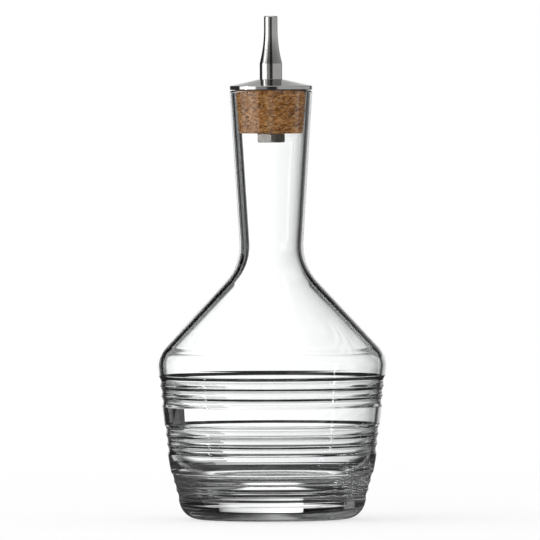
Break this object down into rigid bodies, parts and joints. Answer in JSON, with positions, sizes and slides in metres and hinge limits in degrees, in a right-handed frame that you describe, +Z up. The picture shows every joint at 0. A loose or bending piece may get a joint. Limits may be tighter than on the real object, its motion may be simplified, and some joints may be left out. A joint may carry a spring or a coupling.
{
  "type": "bitters bottle",
  "caption": "Ring-cut clear glass bitters bottle with a flared neck, thick base and a lift-out cork dash stopper with a polished metal cap plate, spout and clamping nut.",
  "frame": {"origin": "middle of the base, on the surface that the bottle stands on", "axes": "+Z up along the bottle's axis, -Y towards the picture's camera"},
  "size_m": [0.0674, 0.0674, 0.148],
  "materials": {
    "clear_glass": "clear, fire polished",
    "natural_cork": "natural cork, ground",
    "polished_steel": "turned and polished",
    "nut_steel": "plain bright"
  },
  "bodies": {
    "bottle": {"glass_bottle": "clear_glass"},
    "stopper": {"cork_bung": "natural_cork", "cap_plate": "polished_steel", "pour_spout": "polished_steel", "hex_nut": "nut_steel"}
  },
  "joints": [
    {"name": "stopper_lift", "type": "slide", "parent": "bottle", "child": "stopper", "axis": [0, 0, 1], "range_m": [0, 0.06]}
  ]
}
